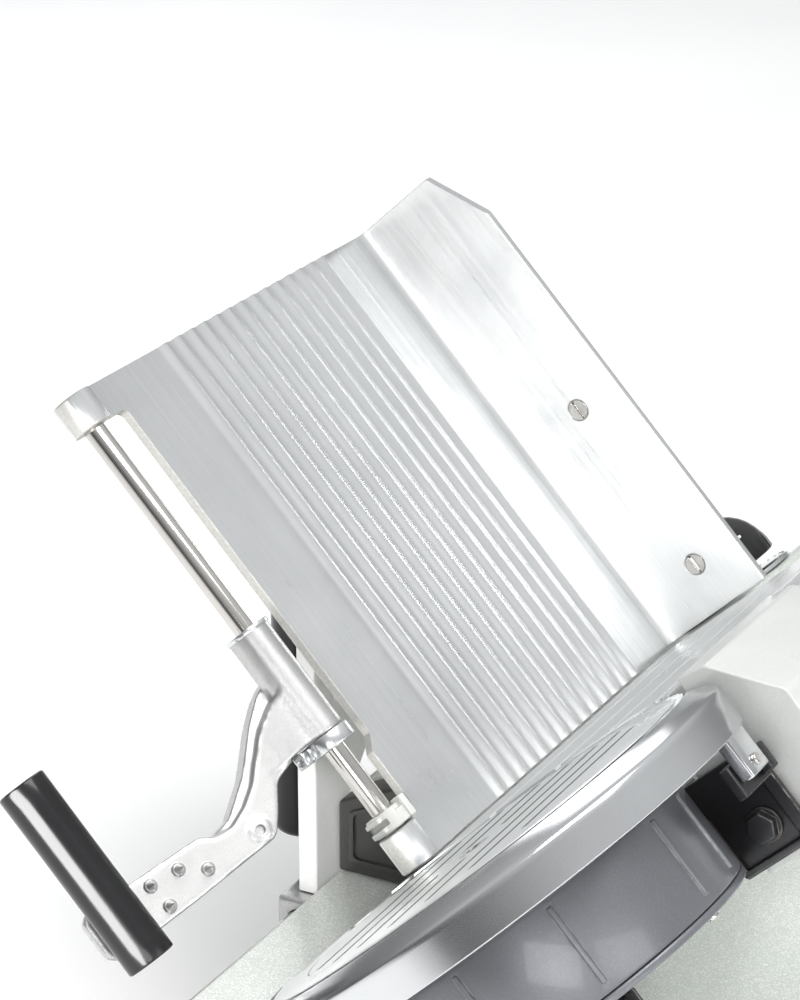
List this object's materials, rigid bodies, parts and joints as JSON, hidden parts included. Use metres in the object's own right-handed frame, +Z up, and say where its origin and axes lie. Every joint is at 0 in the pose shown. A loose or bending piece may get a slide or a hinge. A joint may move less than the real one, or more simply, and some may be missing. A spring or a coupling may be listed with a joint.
{
  "type": "deli meat slicer",
  "caption": "Gravity-feed deli slicer: sloping ribbed tray with a swinging spiked pusher on a rod, leaning round blade with guard ring, gauge plate, thickness knob and painted base on feet.",
  "frame": {"origin": "on the table plane, under the centre of the whole object's box", "axes": "+Z up, +X to the operator's right along the carriage's slide, +Y away from the operator"},
  "size_m": [0.645, 0.4774, 0.4329],
  "materials": {
    "base_paint": "silver-grey metallic paint with a fine orange peel",
    "housing_paint": "darker grey metallic paint on a rough casting",
    "hood_paint": "light grey satin paint",
    "tray_aluminium": "anodised aluminium, brushed along the slope",
    "cast_aluminium": "tumbled cast aluminium, slightly pitted",
    "ground_steel": "ground and polished steel",
    "blade_chrome": "hard chromed and ground blade steel",
    "dark_steel": "blackened steel with worn corners",
    "black_plastic": "polished black phenolic",
    "black_rubber": "matt black rubber",
    "nylon": "white nylon, slightly yellowed",
    "grinding_stone": "bonded abrasive",
    "green_plastic": "moulded green button",
    "red_plastic": "moulded red button",
    "amber_lens": "clear amber lens"
  },
  "bodies": {
    "frame": {"base_bottom_cover": "dark_steel", "base_housing": "base_paint", "bearing_front": "ground_steel", "bearing_rear": "ground_steel", "blade_cover": "tray_aluminium", "blade_housing": "housing_paint", "bracket_bolt": "dark_steel", "control_panel": "black_plastic", "cord_gland": "black_rubber", "dial_ring": "tray_aluminium", "drive_belt": "black_rubber", "foot_front_left": "black_rubber", "foot_front_right": "black_rubber", "foot_rear_left": "black_rubber", "foot_rear_right": "black_rubber", "gauge_guide_rod": "ground_steel", "gauge_housing": "base_paint", "housing_back_plate": "housing_paint", "indicator_lens": "amber_lens", "motor_body": "dark_steel", "motor_cover": "base_paint", "power_cord": "black_rubber", "ring_bracket": "dark_steel", "ring_guard": "tray_aluminium", "rod_bracket_left": "cast_aluminium", "rod_bracket_right": "cast_aluminium", "run_capacitor": "black_plastic", "sharpener_hood": "hood_paint", "slice_deflector": "tray_aluminium", "slide_rod": "ground_steel"},
    "carriage": {"carriage_tray": "tray_aluminium", "carriage_arm": "cast_aluminium", "slide_bearing": "cast_aluminium", "carriage_handle": "black_plastic", "fence_screw_upper": "ground_steel", "fence_screw_lower": "ground_steel", "fence_stiffener": "cast_aluminium", "pusher_rod": "ground_steel", "rod_bushing": "nylon"},
    "collar": {"pusher_collar": "cast_aluminium"},
    "pusher": {"pusher_arm": "cast_aluminium", "pusher_handle": "black_plastic"},
    "gauge": {"gauge_plate": "tray_aluminium", "gauge_carrier": "cast_aluminium"},
    "knob": {"thickness_knob": "black_plastic", "knob_shaft": "ground_steel"},
    "blade_set": {"blade": "blade_chrome", "blade_shaft": "ground_steel", "blade_pulley": "cast_aluminium"},
    "rotor": {"motor_rotor": "ground_steel"},
    "tie_knob": {"cover_tie_knob": "black_plastic"},
    "start": {"start_button": "green_plastic"},
    "stop": {"stop_button": "red_plastic"},
    "stone": {"sharpening_stone": "grinding_stone", "stone_button": "black_plastic"}
  },
  "joints": [
    {"name": "carriage_slide", "type": "slide", "parent": "frame", "child": "carriage", "axis": [1, 0, 0], "range_m": [0, 0.26]},
    {"name": "pusher_slide", "type": "slide", "parent": "carriage", "child": "collar", "axis": [0, 0.6845, -0.729], "range_m": [-0.129, 0.038]},
    {"name": "pusher_swing", "type": "hinge", "parent": "collar", "child": "pusher", "pos_m": [0.0895, -0.10366, 0.25303], "axis": [0, -0.6845, 0.729], "range_deg": [0, 175]},
    {"name": "gauge_slide", "type": "slide", "parent": "frame", "child": "gauge", "axis": [0, 0.6845, -0.729], "range_m": [0, 0.0148]},
    {"name": "thickness_turn", "type": "hinge", "parent": "frame", "child": "knob", "pos_m": [-0.2795, -0.0188, 0.19553], "axis": [0, 0.6845, -0.729], "range_deg": [0, 330]},
    {"name": "blade_spin", "type": "hinge", "parent": "frame", "child": "blade_set", "pos_m": [0.1805, 0.05808, 0.23344], "axis": [0, 0.6845, -0.729], "continuous": true},
    {"name": "rotor_spin", "type": "hinge", "parent": "frame", "child": "rotor", "pos_m": [0.1805, 0.04179, 0.14269], "axis": [0, 0.6845, -0.729], "continuous": true},
    {"name": "tie_knob_turn", "type": "hinge", "parent": "frame", "child": "tie_knob", "pos_m": [0.1805, 0.12312, 0.16419], "axis": [0, 0.6845, -0.729], "range_deg": [-180, 180]},
    {"name": "start_press", "type": "slide", "parent": "frame", "child": "start", "axis": [0, 1, 0], "range_m": [0, 0.002]},
    {"name": "stop_press", "type": "slide", "parent": "frame", "child": "stop", "axis": [0, 1, 0], "range_m": [0, 0.002]},
    {"name": "stone_press", "type": "slide", "parent": "frame", "child": "stone", "axis": [0, -0.6845, 0.729], "range_m": [0, 0.006]}
  ],
  "couplings": [
    {"joint": "thickness_turn", "follows": "gauge_slide", "rad_per_m": 385},
    {"joint": "rotor_spin", "follows": "blade_spin", "ratio": 2.37}
  ]
}
